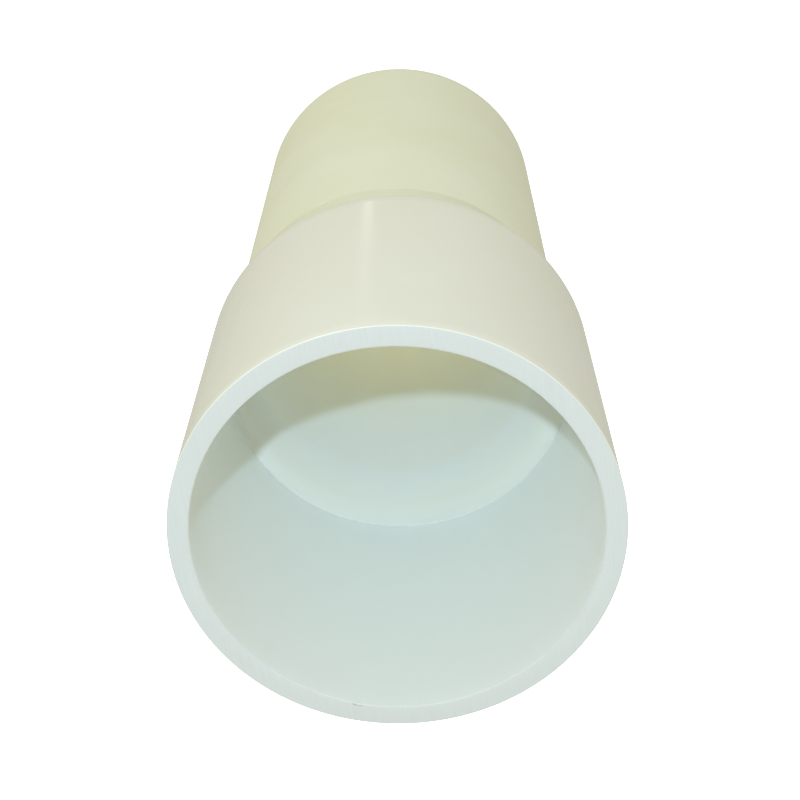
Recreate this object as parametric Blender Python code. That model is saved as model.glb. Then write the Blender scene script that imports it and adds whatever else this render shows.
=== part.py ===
"""An eccentric pipe reducer, standing on its small end with the large mouth up.

The axis of the large barrel is the Z axis. The small barrel is offset towards -Y, which is the flat side:
there the two outsides and the two bores nearly line up, so that no water or air is trapped along it.

Every piece is a closed ring. It is made by carrying a loop of circles round its cross-section, and each
circle has its own height, radius and centre, so that one function makes the straight and the eccentric pieces.
"""

import math

import bmesh
import bpy

# Driving dimensions, in metres
LARGE_OUTER_RADIUS = 0.080
LARGE_WALL = 0.0077
SMALL_OUTER_RADIUS = 0.070
SMALL_WALL = 0.0064
FLAT_SIDE_STEP = 0.0018
TOTAL_HEIGHT = 0.346
LARGE_BARREL_LENGTH = 0.1324
REGISTER_DEPTH = 0.0021
CONE_HEIGHT = 0.0110
CONE_LIP = 0.0010
SPIGOT_LENGTH = 0.0085
SPIGOT_WALL = 0.0031
FLANGE_INSET = 0.0006
FACE_LAND = 0.0010
EDGE_BREAK = 0.0008
FAR_EDGE_RADIUS = 0.0015
BEAD_WIDTH = 0.0017
BEAD_LENGTH = 0.0019
BEAD_TIP = 0.0004
FILLET_WIDTH = 0.0007
FILLET_LENGTH = 0.0028
FILLET_TIP = 0.0003
JOINT_GAP = 0.0003

SEGMENTS = 64
BELL_STEPS = 8
ROUND_STEPS = 3
SHARP_ANGLE = math.radians(28)

# Dimensions that follow
OFFSET = LARGE_OUTER_RADIUS - SMALL_OUTER_RADIUS - FLAT_SIDE_STEP
LARGE_BORE_RADIUS = LARGE_OUTER_RADIUS - LARGE_WALL
SMALL_BORE_RADIUS = SMALL_OUTER_RADIUS - SMALL_WALL
LARGE_BARREL_BASE = TOTAL_HEIGHT - LARGE_BARREL_LENGTH
FLANGE_TOP = LARGE_BARREL_BASE - JOINT_GAP
CONE_BASE = FLANGE_TOP - CONE_HEIGHT
SMALL_BARREL_TOP = CONE_BASE - JOINT_GAP
SHOULDER_FACE = LARGE_BARREL_BASE + REGISTER_DEPTH
SPIGOT_TIP = CONE_BASE - SPIGOT_LENGTH
SPIGOT_RADIUS = SMALL_BORE_RADIUS + SPIGOT_WALL

LARGE_COLOUR = (0.76, 0.74, 0.62)
SHOULDER_COLOUR = (0.74, 0.74, 0.64)
SMALL_COLOUR = (0.70, 0.69, 0.53)
CEMENT_COLOUR = (0.68, 0.67, 0.47)


def centred(radius, height):
    """A circle round the large barrel's axis, as (centre in Y, radius, height)."""
    return (0.0, radius, height)


def offset(radius, height):
    """A circle round the small barrel's axis."""
    return (-OFFSET, radius, height)


def plastic(name, colour, roughness):
    material = bpy.data.materials.new(name)
    material.use_nodes = True
    shader = material.node_tree.nodes["Principled BSDF"]
    shader.inputs["Base Color"].default_value = (*colour, 1.0)
    shader.inputs["Roughness"].default_value = roughness
    shader.inputs["Metallic"].default_value = 0.0
    return material


def circle_points(mesh, centre_y, radius, height):
    angles = (2 * math.pi * i / SEGMENTS for i in range(SEGMENTS))
    return [mesh.verts.new((radius * math.sin(a), centre_y - radius * math.cos(a), height)) for a in angles]


def closed_ring(name, circles, material):
    """Joins each circle to the next, and the last to the first, into one closed body."""
    mesh = bmesh.new()
    loops = [circle_points(mesh, *circle) for circle in circles]
    for loop, following in zip(loops, loops[1:] + loops[:1]):
        for i in range(SEGMENTS):
            j = (i + 1) % SEGMENTS
            mesh.faces.new((loop[i], loop[j], following[j], following[i]))
    bmesh.ops.recalc_face_normals(mesh, faces=mesh.faces)
    data = bpy.data.meshes.new(name)
    mesh.to_mesh(data)
    mesh.free()
    data.materials.append(material)
    data.shade_smooth()
    data.set_sharp_from_angle(angle=SHARP_ANGLE)
    piece = bpy.data.objects.new(name, data)
    bpy.context.scene.collection.objects.link(piece)
    return piece


def rounded_far_edge():
    """The large barrel's rounded outer edge, from its side to its end face."""
    centre_radius = LARGE_OUTER_RADIUS - FAR_EDGE_RADIUS
    centre_height = LARGE_BARREL_BASE + FAR_EDGE_RADIUS
    angles = [math.pi / 2 * i / ROUND_STEPS for i in range(ROUND_STEPS + 1)]
    return [
        centred(centre_radius + FAR_EDGE_RADIUS * math.cos(a), centre_height - FAR_EDGE_RADIUS * math.sin(a))
        for a in angles
    ]


def large_barrel():
    circles = [
        centred(LARGE_OUTER_RADIUS - EDGE_BREAK, TOTAL_HEIGHT),
        centred(LARGE_OUTER_RADIUS, TOTAL_HEIGHT - EDGE_BREAK),
        *rounded_far_edge(),
        centred(LARGE_BORE_RADIUS, LARGE_BARREL_BASE),
        centred(LARGE_BORE_RADIUS, TOTAL_HEIGHT - EDGE_BREAK),
        centred(LARGE_BORE_RADIUS + EDGE_BREAK, TOTAL_HEIGHT),
    ]
    return closed_ring("large_barrel", circles, plastic("large_barrel_plastic", LARGE_COLOUR, 0.32))


def bell_bore():
    """The shoulder's bore, upwards: a quarter ellipse from the small bore out to the shoulder's face."""
    mouth_radius = LARGE_BORE_RADIUS - JOINT_GAP - FACE_LAND
    depth = SHOULDER_FACE - SPIGOT_TIP
    circles = []
    for step in range(BELL_STEPS, -1, -1):
        angle = math.pi / 2 * step / BELL_STEPS
        share = math.sin(angle)
        radius = mouth_radius + share * (SMALL_BORE_RADIUS - mouth_radius)
        circles.append((-OFFSET * share, radius, SHOULDER_FACE - depth * (1 - math.cos(angle))))
    return circles


def eccentric_shoulder():
    register_radius = LARGE_BORE_RADIUS - JOINT_GAP
    circles = [
        centred(register_radius, SHOULDER_FACE),
        centred(register_radius, FLANGE_TOP),
        centred(LARGE_OUTER_RADIUS - FLANGE_INSET, FLANGE_TOP),
        offset(SMALL_OUTER_RADIUS + CONE_LIP, CONE_BASE),
        offset(SPIGOT_RADIUS, CONE_BASE),
        offset(SPIGOT_RADIUS, SPIGOT_TIP),
        *bell_bore(),
    ]
    return closed_ring("eccentric_shoulder", circles, plastic("shoulder_plastic", SHOULDER_COLOUR, 0.38))


def small_barrel():
    socket_radius = SPIGOT_RADIUS + JOINT_GAP
    socket_base = SPIGOT_TIP - JOINT_GAP
    circles = [
        offset(SMALL_OUTER_RADIUS, SMALL_BARREL_TOP),
        offset(SMALL_OUTER_RADIUS, EDGE_BREAK),
        offset(SMALL_OUTER_RADIUS - EDGE_BREAK, 0.0),
        offset(SMALL_BORE_RADIUS + EDGE_BREAK, 0.0),
        offset(SMALL_BORE_RADIUS, EDGE_BREAK),
        offset(SMALL_BORE_RADIUS, socket_base),
        offset(socket_radius, socket_base),
        offset(socket_radius, SMALL_BARREL_TOP),
    ]
    return closed_ring("small_barrel", circles, plastic("small_barrel_plastic", SMALL_COLOUR, 0.45))


def inner_joint_bead():
    """Cement in the corner between the large bore and the shoulder's face."""
    outside = LARGE_BORE_RADIUS - JOINT_GAP
    base = SHOULDER_FACE + JOINT_GAP
    circles = [
        centred(outside, base),
        centred(outside, base + BEAD_LENGTH),
        centred(outside - BEAD_TIP, base + BEAD_LENGTH),
        centred(outside - BEAD_WIDTH, base + BEAD_TIP),
        centred(outside - BEAD_WIDTH, base),
    ]
    return closed_ring("inner_joint_bead", circles, plastic("inner_cement", CEMENT_COLOUR, 0.25))


def outer_joint_bead():
    """Cement fillet under the shoulder's lip, round the small barrel."""
    inside = SMALL_OUTER_RADIUS + JOINT_GAP
    circles = [
        offset(inside + FILLET_WIDTH, SMALL_BARREL_TOP),
        offset(inside + FILLET_TIP, SMALL_BARREL_TOP - FILLET_LENGTH),
        offset(inside, SMALL_BARREL_TOP - FILLET_LENGTH),
        offset(inside, SMALL_BARREL_TOP),
    ]
    return closed_ring("outer_joint_bead", circles, plastic("outer_cement", CEMENT_COLOUR, 0.25))


def main():
    for existing in list(bpy.data.objects):
        bpy.data.objects.remove(existing)
    reducer = bpy.data.objects.new("eccentric_reducer", None)
    bpy.context.scene.collection.objects.link(reducer)
    for make in (large_barrel, eccentric_shoulder, small_barrel, inner_joint_bead, outer_joint_bead):
        make().parent = reducer


main()
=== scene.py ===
"""Looks of the eccentric reducer: fine meshes, procedural plastics and a studio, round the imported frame."""

import math

import bpy
import numpy as np
from mathutils import Matrix, Vector, noise

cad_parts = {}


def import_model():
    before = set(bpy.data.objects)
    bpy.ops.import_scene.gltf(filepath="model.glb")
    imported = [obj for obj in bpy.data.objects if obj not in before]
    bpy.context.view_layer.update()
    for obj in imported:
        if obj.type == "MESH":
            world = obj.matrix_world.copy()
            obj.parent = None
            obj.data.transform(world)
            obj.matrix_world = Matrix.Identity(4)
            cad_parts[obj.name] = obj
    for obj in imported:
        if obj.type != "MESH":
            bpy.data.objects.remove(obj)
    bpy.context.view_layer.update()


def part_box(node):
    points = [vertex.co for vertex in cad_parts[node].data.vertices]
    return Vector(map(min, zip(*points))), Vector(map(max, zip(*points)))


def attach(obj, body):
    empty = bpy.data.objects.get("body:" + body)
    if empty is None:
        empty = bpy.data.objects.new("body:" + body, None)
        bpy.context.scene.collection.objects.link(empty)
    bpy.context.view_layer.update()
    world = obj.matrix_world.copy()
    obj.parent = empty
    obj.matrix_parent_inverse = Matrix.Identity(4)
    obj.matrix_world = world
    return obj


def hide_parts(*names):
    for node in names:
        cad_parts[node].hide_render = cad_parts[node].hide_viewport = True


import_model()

# ---------------------------------------------------------------- sizes, in metres
SEGMENTS = 256
EDGE_BREAK = 0.0006
FAR_EDGE_RADIUS = 0.0015
SMALL_WALL = 0.0064
SPIGOT_WALL = 0.0031
CONE_HEIGHT = 0.0110
CONE_LIP = 0.0010
FLANGE_INSET = 0.0006
JOINT_GAP = 0.0003
FACE_LAND = 0.0010
SLIP = 0.00002
NICK_DEGREES = 19.7
NICK_DEPTH = 0.0014
BEAD_WIDTH = 0.0010
INNER_BEAD_RISE = 0.0009
OUTER_BEAD_DROP = -0.0026
BEAD_ROOT = 0.0002

# waves round a bead, (how many, roughly; share of its width; added to its seed)
BEAD_WAVES = [(5.0, 0.35, 0), (19.0, 0.15, 7)]

# edges sharper than this are shaded as edges
SHARP_DEGREES = 40
BEAD_SHARP_DEGREES = 60

# spans in each stretch of a section
EDGE_STEPS = 5
FAR_EDGE_STEPS = 6
LARGE_WALL_STEPS = 24
SMALL_WALL_STEPS = 30
CONE_STEPS = 10
BELL_STEPS = 28
BEAD_STEPS = 7

# a piece's materials, in the order of its list
SKIN = 0
BORE = 1
CUT = 2

large_low, large_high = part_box("large_barrel")
small_low, small_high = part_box("small_barrel")
shoulder_low, shoulder_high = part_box("eccentric_shoulder")
bead_low, bead_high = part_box("inner_joint_bead")

LARGE_RADIUS = (large_high.x - large_low.x) / 2
LARGE_BORE = (bead_high.x - bead_low.x) / 2 + JOINT_GAP
LARGE_BASE = large_low.z
MOUTH = large_high.z
SMALL_RADIUS = (small_high.x - small_low.x) / 2
SMALL_BORE = SMALL_RADIUS - SMALL_WALL
SMALL_AXIS_Y = (small_high.y + small_low.y) / 2
SHOULDER_FACE = shoulder_high.z
SPIGOT_TIP = shoulder_low.z


# ---------------------------------------------------------------- mesh tools
def centred(radius, height):
    """A circle round the large barrel's axis, as (centre in Y, radius, height)."""
    return (0.0, radius, height)


def offset(radius, height):
    """A circle round the small barrel's axis."""
    return (SMALL_AXIS_Y, radius, height)


def rounded(centre, radius, start_degrees, end_degrees, steps, circle_at):
    """Circles along an arc of the section. centre is (radius, height); 0 degrees points outwards, 90 up."""
    circles = []
    for step in range(steps + 1):
        angle = math.radians(start_degrees + (end_degrees - start_degrees) * step / steps)
        circles.append(circle_at(centre[0] + radius * math.cos(angle), centre[1] + radius * math.sin(angle)))
    return circles


def wall(start, end, steps):
    """Circles from one to another, without the first, so that a long wall has rings along it."""
    circles = []
    for step in range(1, steps + 1):
        circles.append(tuple(first + (last - first) * step / steps for first, last in zip(start, end)))
    return circles


def ring_points(circles):
    """Points of shape (circle, segment, 3). Segment 0 is on the flat side, at -Y."""
    angles = np.linspace(0, 2 * math.pi, SEGMENTS, endpoint=False)
    section = np.array(circles)
    centre_y, radius, height = (section[:, i][:, None] for i in range(3))
    return np.stack([
        radius * np.sin(angles),
        centre_y - radius * np.cos(angles),
        np.repeat(height, SEGMENTS, axis=1),
    ], axis=-1)


def ring_piece(name, points, zones, materials, sharp_degrees=SHARP_DEGREES):
    """One closed body from rings of points. zones gives each span's material; the last closes the loop."""
    rings = len(points)
    index = np.arange(rings * SEGMENTS).reshape(rings, SEGMENTS)
    along = np.roll(index, -1, axis=0)
    faces = np.stack([index, along, np.roll(along, -1, axis=1), np.roll(index, -1, axis=1)], axis=-1)
    mesh = bpy.data.meshes.new(name)
    mesh.from_pydata(points.reshape(-1, 3).tolist(), [], faces.reshape(-1, 4).tolist())
    for material in materials:
        mesh.materials.append(material)
    mesh.polygons.foreach_set("material_index", np.repeat(np.array(zones, np.int32), SEGMENTS))
    mesh.shade_smooth()
    mesh.set_sharp_from_angle(angle=math.radians(sharp_degrees))
    mesh.validate()
    piece = bpy.data.objects.new(name, mesh)
    bpy.context.scene.collection.objects.link(piece)
    return piece


def place(piece, node):
    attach(piece, "root")
    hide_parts(node)
    return piece


def jitter(angle, size, amount, seed):
    """Smooth noise round the ring, without a seam, scaled to amount."""
    return noise.noise(Vector((math.sin(angle) * size, math.cos(angle) * size, seed))) * amount


# ---------------------------------------------------------------- material tools
def new_material(name):
    material = bpy.data.materials.new(name)
    material.use_nodes = True
    nodes = material.node_tree.nodes
    return material, nodes, material.node_tree.links, nodes["Principled BSDF"]


def node(nodes, kind, settings=None, **inputs):
    """A shader node with its settings and unlinked inputs filled in."""
    made = nodes.new(kind)
    for key, value in (settings or {}).items():
        setattr(made, key, value)
    for key, value in inputs.items():
        made.inputs[key.replace("_", " ")].default_value = value
    return made


def object_position(nodes, links, scale):
    """Object coordinates, stretched by scale."""
    coordinates = nodes.new("ShaderNodeTexCoord")
    mapping = node(nodes, "ShaderNodeMapping", Scale=scale)
    links.new(coordinates.outputs["Object"], mapping.inputs["Vector"])
    return mapping.outputs["Vector"]


def noise_texture(nodes, links, vector, scale, detail=3.0, roughness=0.55):
    texture = node(nodes, "ShaderNodeTexNoise", Scale=scale, Detail=detail, Roughness=roughness)
    links.new(vector, texture.inputs["Vector"])
    return texture.outputs["Fac"]


def spread(nodes, links, value, low, high, to_low=0.0, to_high=1.0):
    """Maps a value from one range to another, clamped."""
    mapped = node(nodes, "ShaderNodeMapRange")
    for key, number in (("From Min", low), ("From Max", high), ("To Min", to_low), ("To Max", to_high)):
        mapped.inputs[key].default_value = number
    links.new(value, mapped.inputs["Value"])
    return mapped.outputs["Result"]


def blend(nodes, links, factor, first, second):
    """Mixes two colours; each is a socket or a fixed colour."""
    mixer = node(nodes, "ShaderNodeMix", {"data_type": "RGBA"})
    links.new(factor, mixer.inputs["Factor"])
    for socket, colour in ((mixer.inputs[6], first), (mixer.inputs[7], second)):
        if isinstance(colour, tuple):
            socket.default_value = (*colour, 1.0)
        else:
            links.new(colour, socket)
    return mixer.outputs[2]


def add_bump(nodes, links, shader, layers):
    """Stacks bumps; layers are (height socket, strength, distance)."""
    normal = None
    for height, strength, distance in layers:
        bump = node(nodes, "ShaderNodeBump", Strength=strength, Distance=distance)
        links.new(height, bump.inputs["Height"])
        if normal:
            links.new(normal, bump.inputs["Normal"])
        normal = bump.outputs["Normal"]
    links.new(normal, shader.inputs["Normal"])


# noise scales, in cells per metre, and stretches of the object's coordinates
FINE_LINES = 1400.0
WIDE_LINES = 210.0
CLOUDS = 17.0
GRAIN = 900.0
MARKS = 130.0
SAW_CLOUDS = 60.0
SAW_GRAIN = 1500.0
CEMENT_THICKNESS = 160.0
CEMENT_RUNS = 420.0
EVEN = (1.0, 1.0, 1.0)
ALONG_PIPE = (1.0, 1.0, 0.012)
MARK_STRETCH = (1.0, 1.0, 0.22)

# ranges of noise, (low, high) or (low, high, to_low, to_high)
MIDDLE = (0.3, 0.7)
CLOUD_TONE = (0.35, 0.68)
MARK_TONE = (0.66, 0.82, 0.0, 0.4)
MARK_ROUGHNESS = (0.58, 0.84, 0.0, 0.07)
CEMENT_TONE = (0.35, 0.65)

# the least and greatest roughness, or their distance from the usual one
PIPE_SMOOTHER = 0.03
PIPE_ROUGHER = 0.04
SAW_ROUGHNESS = (0.42, 0.6)
CEMENT_ROUGHNESS = (0.14, 0.3)
COAT_ROUGHNESS = 0.05

# bumps, (strength, distance in metres); the pipe's lines take their strength from each plastic
WIDE_LINE_DEPTH = 0.00006
FINE_LINE_DEPTH = 0.00002
GRAIN_BUMP = (0.25, 0.00002)
SAW_BUMP = (0.35, 0.00008)
SAW_GRAIN_BUMP = (0.2, 0.00003)
CEMENT_BUMP = (0.5, 0.0003)
CEMENT_RUN_BUMP = (0.3, 0.00012)


def pipe_plastic(name, base, aged, scuffed, roughness, lines, specular, coat=0.0, matte=0.0, foot=None):
    """Extruded rigid PVC: faint lines along the pipe, soft mottling, light handling marks.
    foot is (low, high, colour): that colour at height low, turning to the usual one at height high."""
    material, nodes, links, shader = new_material(name)
    along = object_position(nodes, links, ALONG_PIPE)
    fine_lines = noise_texture(nodes, links, along, FINE_LINES, detail=2.0)
    wide_lines = noise_texture(nodes, links, along, WIDE_LINES, detail=2.0)
    even = object_position(nodes, links, EVEN)
    clouds = noise_texture(nodes, links, even, CLOUDS, detail=4.0)
    grain = noise_texture(nodes, links, even, GRAIN, detail=2.0)
    marks_at = object_position(nodes, links, MARK_STRETCH)
    marks = noise_texture(nodes, links, marks_at, MARKS, detail=6.0, roughness=0.7)

    colour = blend(nodes, links, spread(nodes, links, clouds, *CLOUD_TONE), base, aged)
    mark_share = spread(nodes, links, marks, *MARK_TONE)
    colour = blend(nodes, links, mark_share, colour, scuffed)
    if foot:
        low, high, foot_colour = foot
        split = nodes.new("ShaderNodeSeparateXYZ")
        links.new(even, split.inputs["Vector"])
        share = spread(nodes, links, split.outputs["Z"], low, high)
        colour = blend(nodes, links, share, foot_colour, colour)
    links.new(colour, shader.inputs["Base Color"])

    rough = node(nodes, "ShaderNodeMath", {"operation": "ADD"})
    smoothest, roughest = roughness - PIPE_SMOOTHER, roughness + PIPE_ROUGHER
    links.new(spread(nodes, links, clouds, *MIDDLE, smoothest, roughest), rough.inputs[0])
    links.new(spread(nodes, links, marks, *MARK_ROUGHNESS), rough.inputs[1])
    links.new(rough.outputs[0], shader.inputs["Roughness"])
    shader.inputs["Specular IOR Level"].default_value = specular
    shader.inputs["Diffuse Roughness"].default_value = matte
    shader.inputs["Coat Weight"].default_value = coat
    shader.inputs["Coat Roughness"].default_value = COAT_ROUGHNESS
    add_bump(nodes, links, shader, [
        (wide_lines, lines, WIDE_LINE_DEPTH),
        (fine_lines, lines, FINE_LINE_DEPTH),
        (grain, *GRAIN_BUMP),
    ])
    return material


def sawn_plastic(name, base, shade, line_scale, stretch):
    """A cut face, with fine parallel marks left by the saw; the colours it is given are painted shade, darker
    than the skin.
    """
    material, nodes, links, shader = new_material(name)
    across = object_position(nodes, links, stretch)
    lines = noise_texture(nodes, links, across, line_scale, detail=3.0)
    even = object_position(nodes, links, EVEN)
    clouds = noise_texture(nodes, links, even, SAW_CLOUDS, detail=4.0)
    grain = noise_texture(nodes, links, even, SAW_GRAIN, detail=2.0)
    tone = node(nodes, "ShaderNodeMath", {"operation": "MULTIPLY"})
    links.new(spread(nodes, links, lines, *MIDDLE), tone.inputs[0])
    links.new(spread(nodes, links, clouds, *MIDDLE, to_low=0.5), tone.inputs[1])
    links.new(blend(nodes, links, tone.outputs[0], base, shade), shader.inputs["Base Color"])
    links.new(spread(nodes, links, lines, *MIDDLE, *SAW_ROUGHNESS), shader.inputs["Roughness"])
    add_bump(nodes, links, shader, [
        (lines, *SAW_BUMP),
        (grain, *SAW_GRAIN_BUMP),
    ])
    return material


def cement(name, base, shade):
    """Dried solvent cement: glossy, uneven, a little darker where it is thick."""
    material, nodes, links, shader = new_material(name)
    even = object_position(nodes, links, EVEN)
    thickness = noise_texture(nodes, links, even, CEMENT_THICKNESS, detail=3.0)
    runs = noise_texture(nodes, links, even, CEMENT_RUNS, detail=2.0)
    share = spread(nodes, links, thickness, *CEMENT_TONE)
    links.new(blend(nodes, links, share, base, shade), shader.inputs["Base Color"])
    links.new(spread(nodes, links, runs, *MIDDLE, *CEMENT_ROUGHNESS), shader.inputs["Roughness"])
    add_bump(nodes, links, shader, [
        (thickness, *CEMENT_BUMP),
        (runs, *CEMENT_RUN_BUMP),
    ])
    return material


# ---------------------------------------------------------------- materials
CREAM = (0.88, 0.825, 0.72)
CREAM_AGED = (0.86, 0.80, 0.68)
CREAM_SCUFF = (0.90, 0.87, 0.78)
IVORY = (0.865, 0.84, 0.665)
IVORY_AGED = (0.845, 0.81, 0.615)
IVORY_SCUFF = (0.90, 0.885, 0.72)
OLIVE = (0.82, 0.795, 0.61)
OLIVE_AGED = (0.805, 0.775, 0.575)
BORE_WHITE = (0.943, 0.963, 0.94)
BORE_SHADE = (0.933, 0.953, 0.92)
DEEP_WHITE = (0.885, 0.90, 0.86)
# painted shade: near the mouth the large bore takes darker colours than deep down, where more of the flash
# falls
MOUTH_SHADED_WHITE = (0.83, 0.81, 0.76)
MOUTH_SHADED_TONE = (0.82, 0.80, 0.745)
# painted shade: the bell's colours are darker than the bore's, where the flash falls on it face-on
BELL_SHADED_WHITE = (0.82, 0.81, 0.735)
BELL_SHADED_TONE = (0.81, 0.80, 0.715)
# painted shade: the cut colours are darker than the skin, taking back the strong light on the up-facing cut
# at the mouth; the small end's cut and the small bore's marks use them too
CUT_SHADED_WHITE = (0.64, 0.61, 0.58)
CUT_SHADED_TONE = (0.61, 0.58, 0.55)
CEMENT_PALE = (0.83, 0.82, 0.76)
CEMENT_SHADE = (0.80, 0.79, 0.72)
CEMENT_OLIVE = (0.82, 0.80, 0.58)
CEMENT_DARK = (0.76, 0.74, 0.50)
BORE_MATTE = 0.25

# heights between which a bore's colour turns from the deep one to the one nearer the mouth: painted shade,
# darker where more of the flash falls
MOUTH_PAINTED_SHADE_LOW = 0.235
MOUTH_PAINTED_SHADE_HIGH = 0.33
# painted shade: the bell turns from the bore's colour at the spigot's tip to its own darker one at this share
# of the way to the shoulder's face
BELL_PAINTED_SHADE_SHARE = 0.85
BELL_PAINTED_SHADE_TOP = SPIGOT_TIP + BELL_PAINTED_SHADE_SHARE * (SHOULDER_FACE - SPIGOT_TIP)

# saw marks: their noise scale, in cells per metre, and the direction they run in
SAW_LINES_LARGE = 1500.0
SAW_LINES_SMALL = 1300.0
ACROSS_LARGE = (1.0, 0.02, 1.0)
ACROSS_SMALL = (0.02, 1.0, 1.0)

barrel_skin = pipe_plastic(
    "barrel_skin", CREAM, CREAM_AGED, CREAM_SCUFF,
    roughness=0.21, lines=0.5, specular=0.3, coat=0.25)
# painted shade: this bore's colour darkens towards the mouth
barrel_bore = pipe_plastic(
    "barrel_bore", MOUTH_SHADED_WHITE, MOUTH_SHADED_TONE, MOUTH_SHADED_WHITE,
    roughness=0.5, lines=0.4, specular=0.25, matte=BORE_MATTE,
    foot=(MOUTH_PAINTED_SHADE_LOW, MOUTH_PAINTED_SHADE_HIGH, DEEP_WHITE))
# painted shade: both cut faces, here and at the small end, take the darkened cut colours
barrel_cut = sawn_plastic("barrel_cut", CUT_SHADED_WHITE, CUT_SHADED_TONE, SAW_LINES_LARGE, ACROSS_LARGE)
spigot_skin = pipe_plastic(
    "spigot_skin", IVORY, IVORY_AGED, IVORY_SCUFF,
    roughness=0.48, lines=0.6, specular=0.25)
spigot_bore = pipe_plastic(
    "spigot_bore", BORE_WHITE, BORE_SHADE, CUT_SHADED_WHITE,
    roughness=0.5, lines=0.4, specular=0.25, matte=BORE_MATTE)
spigot_cut = sawn_plastic("spigot_cut", CUT_SHADED_WHITE, CUT_SHADED_TONE, SAW_LINES_SMALL, ACROSS_SMALL)
shoulder_skin = pipe_plastic(
    "shoulder_skin", OLIVE, OLIVE_AGED, OLIVE_AGED,
    roughness=0.45, lines=0.2, specular=0.3)
# painted shade: the bell darkens towards the shoulder's face
shoulder_bore = pipe_plastic(
    "shoulder_bore", BELL_SHADED_WHITE, BELL_SHADED_TONE, BELL_SHADED_WHITE,
    roughness=0.6, lines=0.2, specular=0.2, matte=BORE_MATTE,
    foot=(SPIGOT_TIP, BELL_PAINTED_SHADE_TOP, BORE_WHITE))
inner_cement = cement("inner_cement", CEMENT_PALE, CEMENT_SHADE)
outer_cement = cement("outer_cement", CEMENT_OLIVE, CEMENT_DARK)


# ---------------------------------------------------------------- pieces
def nick(points, rings):
    """A small knock in the mouth's inner edge, opposite the flat side."""
    segment = round(SEGMENTS * (0.5 - NICK_DEGREES / 360))
    middle = (rings[0] + rings[-1]) / 2
    for ring in rings:
        depth = NICK_DEPTH * (1 - abs(ring - middle) / len(rings))
        outwards = Vector((points[ring, segment, 0], points[ring, segment, 1], 0)).normalized()
        points[ring, segment] += np.array(outwards * depth) - (0, 0, depth)


def large_barrel():
    outer = LARGE_RADIUS - EDGE_BREAK
    inner = LARGE_BORE + EDGE_BREAK
    far = LARGE_RADIUS - FAR_EDGE_RADIUS
    mouth_edge = rounded((outer, MOUTH - EDGE_BREAK), EDGE_BREAK, 90, 0, EDGE_STEPS, centred)
    far_centre = (far, LARGE_BASE + FAR_EDGE_RADIUS)
    far_edge = rounded(far_centre, FAR_EDGE_RADIUS, 0, -90, FAR_EDGE_STEPS, centred)
    side = wall(mouth_edge[-1], far_edge[0], LARGE_WALL_STEPS)[:-1]
    seat = centred(LARGE_BORE, LARGE_BASE)
    bore_edge = rounded((inner, MOUTH - EDGE_BREAK), EDGE_BREAK, 180, 90, EDGE_STEPS, centred)
    bore = wall(seat, bore_edge[0], LARGE_WALL_STEPS)[:-1]
    circles = mouth_edge + side + far_edge + [seat] + bore + bore_edge
    # the first two spans are cut, and the bore's colour reaches two spans round its edge at the mouth
    zones = [CUT] * 2 + [SKIN] * (len(mouth_edge) + len(side) + len(far_edge) - 2) + [BORE] * (len(bore) + 3)
    zones += [CUT] * (len(circles) - len(zones))
    points = ring_points(circles)
    nick(points, range(len(circles) - len(bore_edge), len(circles)))
    piece = ring_piece("large_barrel_shell", points, zones, [barrel_skin, barrel_bore, barrel_cut])
    return place(piece, "large_barrel")


def bell_bore():
    """The shoulder's bore, upwards: a quarter ellipse from the small bore out to the shoulder's face."""
    mouth_radius = LARGE_BORE - JOINT_GAP - FACE_LAND
    depth = SHOULDER_FACE - SPIGOT_TIP
    circles = []
    for step in range(BELL_STEPS, -1, -1):
        angle = math.pi / 2 * step / BELL_STEPS
        share = math.sin(angle)
        radius = mouth_radius + share * (SMALL_BORE - mouth_radius)
        circles.append((SMALL_AXIS_Y * share, radius, SHOULDER_FACE - depth * (1 - math.cos(angle))))
    return circles


def eccentric_shoulder():
    flange_top = LARGE_BASE - SLIP
    cone_base = LARGE_BASE - JOINT_GAP - CONE_HEIGHT
    register = LARGE_BORE - SLIP
    cone_top = centred(LARGE_RADIUS - FLANGE_INSET, flange_top)
    lip = offset(SMALL_RADIUS + CONE_LIP, cone_base)
    spigot = SMALL_BORE + SPIGOT_WALL
    outside = [centred(register, SHOULDER_FACE), centred(register, flange_top), cone_top]
    outside += wall(cone_top, lip, CONE_STEPS)
    outside.append(offset(spigot, cone_base))
    circles = [*outside, offset(spigot, SPIGOT_TIP), *bell_bore()]
    zones = [SKIN] * len(outside) + [BORE] * (len(circles) - len(outside))
    materials = [shoulder_skin, shoulder_bore]
    piece = ring_piece("eccentric_shoulder_ring", ring_points(circles), zones, materials)
    return place(piece, "eccentric_shoulder")


def small_barrel():
    socket = SMALL_BORE + SPIGOT_WALL + SLIP
    socket_base = SPIGOT_TIP - SLIP
    top = LARGE_BASE - JOINT_GAP - CONE_HEIGHT - SLIP
    outer = SMALL_RADIUS - EDGE_BREAK
    inner = SMALL_BORE + EDGE_BREAK
    foot_out = rounded((outer, EDGE_BREAK), EDGE_BREAK, 0, -90, EDGE_STEPS, offset)
    foot_in = rounded((inner, EDGE_BREAK), EDGE_BREAK, -90, -180, EDGE_STEPS, offset)
    head = offset(SMALL_RADIUS, top)
    side = wall(head, foot_out[0], SMALL_WALL_STEPS)[:-1]
    bore = wall(foot_in[-1], offset(SMALL_BORE, socket_base), SMALL_WALL_STEPS)
    circles = [head, *side, *foot_out, *foot_in, *bore, offset(socket, socket_base), offset(socket, top)]
    # the cut runs from the fourth span of the outer rounding to the second span of the inner one
    zones = [SKIN] * (len(side) + 4) + [CUT] * 5
    zones += [BORE] * (len(circles) - len(zones))
    materials = [spigot_skin, spigot_bore, spigot_cut]
    piece = ring_piece("small_barrel_shell", ring_points(circles), zones, materials)
    return place(piece, "small_barrel")


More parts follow.
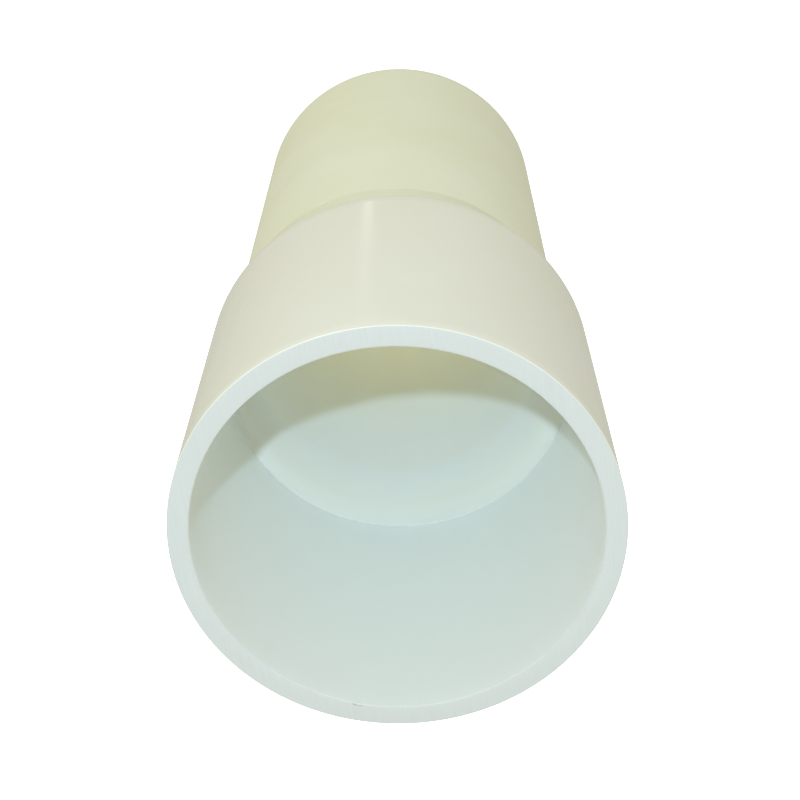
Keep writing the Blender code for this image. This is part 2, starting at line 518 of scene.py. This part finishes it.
def bead_points(corner, width, length, circle_at, side, seed):
    """A fillet of cement in the corner (radius, height): a hollow curve, uneven round the ring.
    side is -1 where the bead is inside a bore, 1 round the outside; a negative length runs downwards."""
    section = []
    for step in range(BEAD_STEPS + 1):
        angle = math.pi / 2 * step / BEAD_STEPS
        section.append((1 - math.sin(angle), 1 - math.cos(angle)))
    radius, height = corner
    circles = [circle_at(radius - side * BEAD_ROOT, height - math.copysign(BEAD_ROOT, length))]
    circles += [circle_at(radius + side * width * out, height + length * along) for out, along in section]
    points = ring_points(circles)
    for segment in range(SEGMENTS):
        angle = 2 * math.pi * segment / SEGMENTS
        grow = 1.0
        for size, amount, next_seed in BEAD_WAVES:
            grow += jitter(angle, size, amount, seed + next_seed)
        for ring, (out, along) in enumerate(section, start=1):
            centre_y = circles[ring][0]
            reach = radius + side * width * out * grow
            x = reach * math.sin(angle)
            y = centre_y - reach * math.cos(angle)
            points[ring, segment] = (x, y, height + length * along * grow)
    return points


def inner_joint_bead():
    corner = (LARGE_BORE, SHOULDER_FACE)
    points = bead_points(corner, BEAD_WIDTH, INNER_BEAD_RISE, centred, side=-1, seed=3)
    piece = ring_piece("inner_joint_cement", points, [0] * len(points), [inner_cement], BEAD_SHARP_DEGREES)
    return place(piece, "inner_joint_bead")


def outer_joint_bead():
    corner = (SMALL_RADIUS, LARGE_BASE - JOINT_GAP - CONE_HEIGHT)
    points = bead_points(corner, BEAD_WIDTH, OUTER_BEAD_DROP, offset, side=1, seed=11)
    piece = ring_piece("outer_joint_cement", points, [0] * len(points), [outer_cement], BEAD_SHARP_DEGREES)
    return place(piece, "outer_joint_bead")


large_barrel()
eccentric_shoulder()
small_barrel()
inner_joint_bead()
outer_joint_bead()


# ---------------------------------------------------------------- studio
FLOOR_SIZE = 60.0
FLOOR_GAP = 0.0002
FLOOR_TONE = 0.9
FLOOR_ROUGHNESS = 0.9
FLOOR_GLOW = 1.0
WORLD_SIDES = (0.575, 0.575, 0.50)
WORLD_OVERHEAD = (0.85, 0.95, 0.84)
WORLD_TURN = (0.1, 0.9)
WHITE = (1.0, 1.0, 1.0)

# the camera's place, in large radii; its lens, in millimetres; its turns, in degrees
CAMERA_SIDE = -0.004
CAMERA_OUT = 3.488
CAMERA_UP = 5.812
LENS_MM = 70.15
SENSOR_MM = 36.0
CAMERA_TILT = 25.92
CAMERA_ROLL = 180.78
CAMERA_ROUND = -8.9

# places by the camera are (side, out, up), in large radii
FLASH = (0.71, 6.50, 10.06)
FLASH_SIZE = 0.024
FLASH_POWER = 5.5
FLASH_COLOUR = (0.59, 0.80, 1.04)

# places in metres, in the object's own frame
SOFTBOX = (0.50, -1.20, 0.15)
SOFTBOX_TARGET = (0, 0, 0.17)
SOFTBOX_SIZE = 0.60
SOFTBOX_POWER = 2.3
SOFTBOX_COLOUR = (1.0, 1.0, 0.80)
SMALL_END_LAMP_HEIGHT = 0.003
SMALL_END_LAMP_SIZE = 0.12
SMALL_END_LAMP_POWER = 0.015
SMALL_END_LAMP_COLOUR = (1.0, 0.86, 0.10)

# each lamp: name, place by the camera, width, depth, power
STREAK_TARGET = (0.19, 0.98, -1.35)
STREAK_LAMPS = [
    ("dot_lamp", (0.51, 1.81, -4.27), 0.005, 0.003, 0.0004),
    ("streak_lamp", (0.57, 1.92, -4.27), 0.018, 0.022, 0.0004),
    ("streak_tail_lamp", (0.71, 2.25, -4.27), 0.020, 0.060, 0.0006),
]


def seen_from_camera(matrix):
    """The camera and its flash stand a little round the barrel from the middle of its flat side."""
    return Matrix.Rotation(math.radians(CAMERA_ROUND), 4, "Z") @ matrix


def by_camera(side, out, up):
    """A place given in large radii: to the side, out from the flat side and up from the mouth."""
    place_at = Vector((side, -out, up)) * LARGE_RADIUS + Vector((0, 0, MOUTH))
    return seen_from_camera(Matrix.Translation(place_at)).translation


def floor():
    """A white floor that glows evenly and lights nothing."""
    mesh = bpy.data.meshes.new("studio_floor")
    half = FLOOR_SIZE / 2
    corners = [(-half, -half), (half, -half), (half, half), (-half, half)]
    mesh.from_pydata([(x, y, -FLOOR_GAP) for x, y in corners], [], [(0, 1, 2, 3)])
    made = bpy.data.objects.new("studio_floor", mesh)
    bpy.context.scene.collection.objects.link(made)
    material, nodes, links, shader = new_material("floor_white")
    shader.inputs["Base Color"].default_value = (FLOOR_TONE, FLOOR_TONE, FLOOR_TONE, 1.0)
    shader.inputs["Roughness"].default_value = FLOOR_ROUGHNESS
    shader.inputs["Emission Color"].default_value = (*WHITE, 1.0)
    shader.inputs["Emission Strength"].default_value = FLOOR_GLOW
    mesh.materials.append(material)
    made.visible_diffuse = False
    made.visible_glossy = False


def world():
    """Soft light from all round: one colour from the sides and below, turning to another overhead."""
    made = bpy.data.worlds.new("studio")
    made.use_nodes = True
    nodes, links = made.node_tree.nodes, made.node_tree.links
    coordinates = nodes.new("ShaderNodeTexCoord")
    split = nodes.new("ShaderNodeSeparateXYZ")
    links.new(coordinates.outputs["Generated"], split.inputs["Vector"])
    share = spread(nodes, links, split.outputs["Z"], *WORLD_TURN)
    colour = blend(nodes, links, share, WORLD_SIDES, WORLD_OVERHEAD)
    links.new(colour, nodes["Background"].inputs["Color"])
    bpy.context.scene.world = made


def area_light(name, location, target, size, power, colour, depth=None):
    data = bpy.data.lights.new(name, "AREA")
    data.shape = "ELLIPSE"
    data.size = size
    data.size_y = depth or size
    data.energy = power
    data.color = colour
    light = bpy.data.objects.new(name, data)
    light.location = location
    light.rotation_euler = (Vector(target) - Vector(location)).to_track_quat("-Z", "Y").to_euler()
    bpy.context.scene.collection.objects.link(light)
    return light


def flash():
    """Beside the camera; it throws the shadow of the mouth's edge, and isn't seen in reflections."""
    lamp = area_light("flash", by_camera(*FLASH), (0, 0, LARGE_BASE), FLASH_SIZE, FLASH_POWER, FLASH_COLOUR)
    lamp.visible_glossy = False


def streak_lamps():
    """Low in front of the large barrel; only their reflections show, as a narrow highlight on its side."""
    for name, lamp_at, width, depth, power in STREAK_LAMPS:
        lamp = area_light(name, by_camera(*lamp_at), by_camera(*STREAK_TARGET), width, power, WHITE, depth)
        lamp.visible_camera = False
        lamp.visible_diffuse = False


def softbox():
    """A wide soft light low down, in front of the flat side and to one side of it."""
    area_light("softbox", SOFTBOX, SOFTBOX_TARGET, SOFTBOX_SIZE, SOFTBOX_POWER, SOFTBOX_COLOUR)


def small_end_lamp():
    """The little light that comes through the open small end."""
    lamp_at = (0, SMALL_AXIS_Y, SMALL_END_LAMP_HEIGHT)
    upwards = (0, SMALL_AXIS_Y, 1)
    lamp = area_light("through_small_end", lamp_at, upwards, SMALL_END_LAMP_SIZE,
                      SMALL_END_LAMP_POWER, SMALL_END_LAMP_COLOUR)
    lamp.visible_camera = False


def camera():
    """Over the flat side, looking steeply down into the mouth, the small end at the picture's top."""
    data = bpy.data.cameras.new("camera")
    data.sensor_width = SENSOR_MM
    data.lens = LENS_MM
    made = bpy.data.objects.new("camera", data)
    tilt = Matrix.Rotation(math.radians(CAMERA_TILT), 4, "X")
    roll = Matrix.Rotation(math.radians(CAMERA_ROLL), 4, "Z")
    camera_at = Vector((CAMERA_SIDE, -CAMERA_OUT, CAMERA_UP)) * LARGE_RADIUS + Vector((0, 0, MOUTH))
    made.matrix_world = seen_from_camera(Matrix.Translation(camera_at) @ tilt @ roll)
    bpy.context.scene.collection.objects.link(made)
    bpy.context.scene.camera = made


floor()
world()
flash()
streak_lamps()
softbox()
small_end_lamp()
camera()
bpy.context.scene.view_settings.view_transform = "Standard"
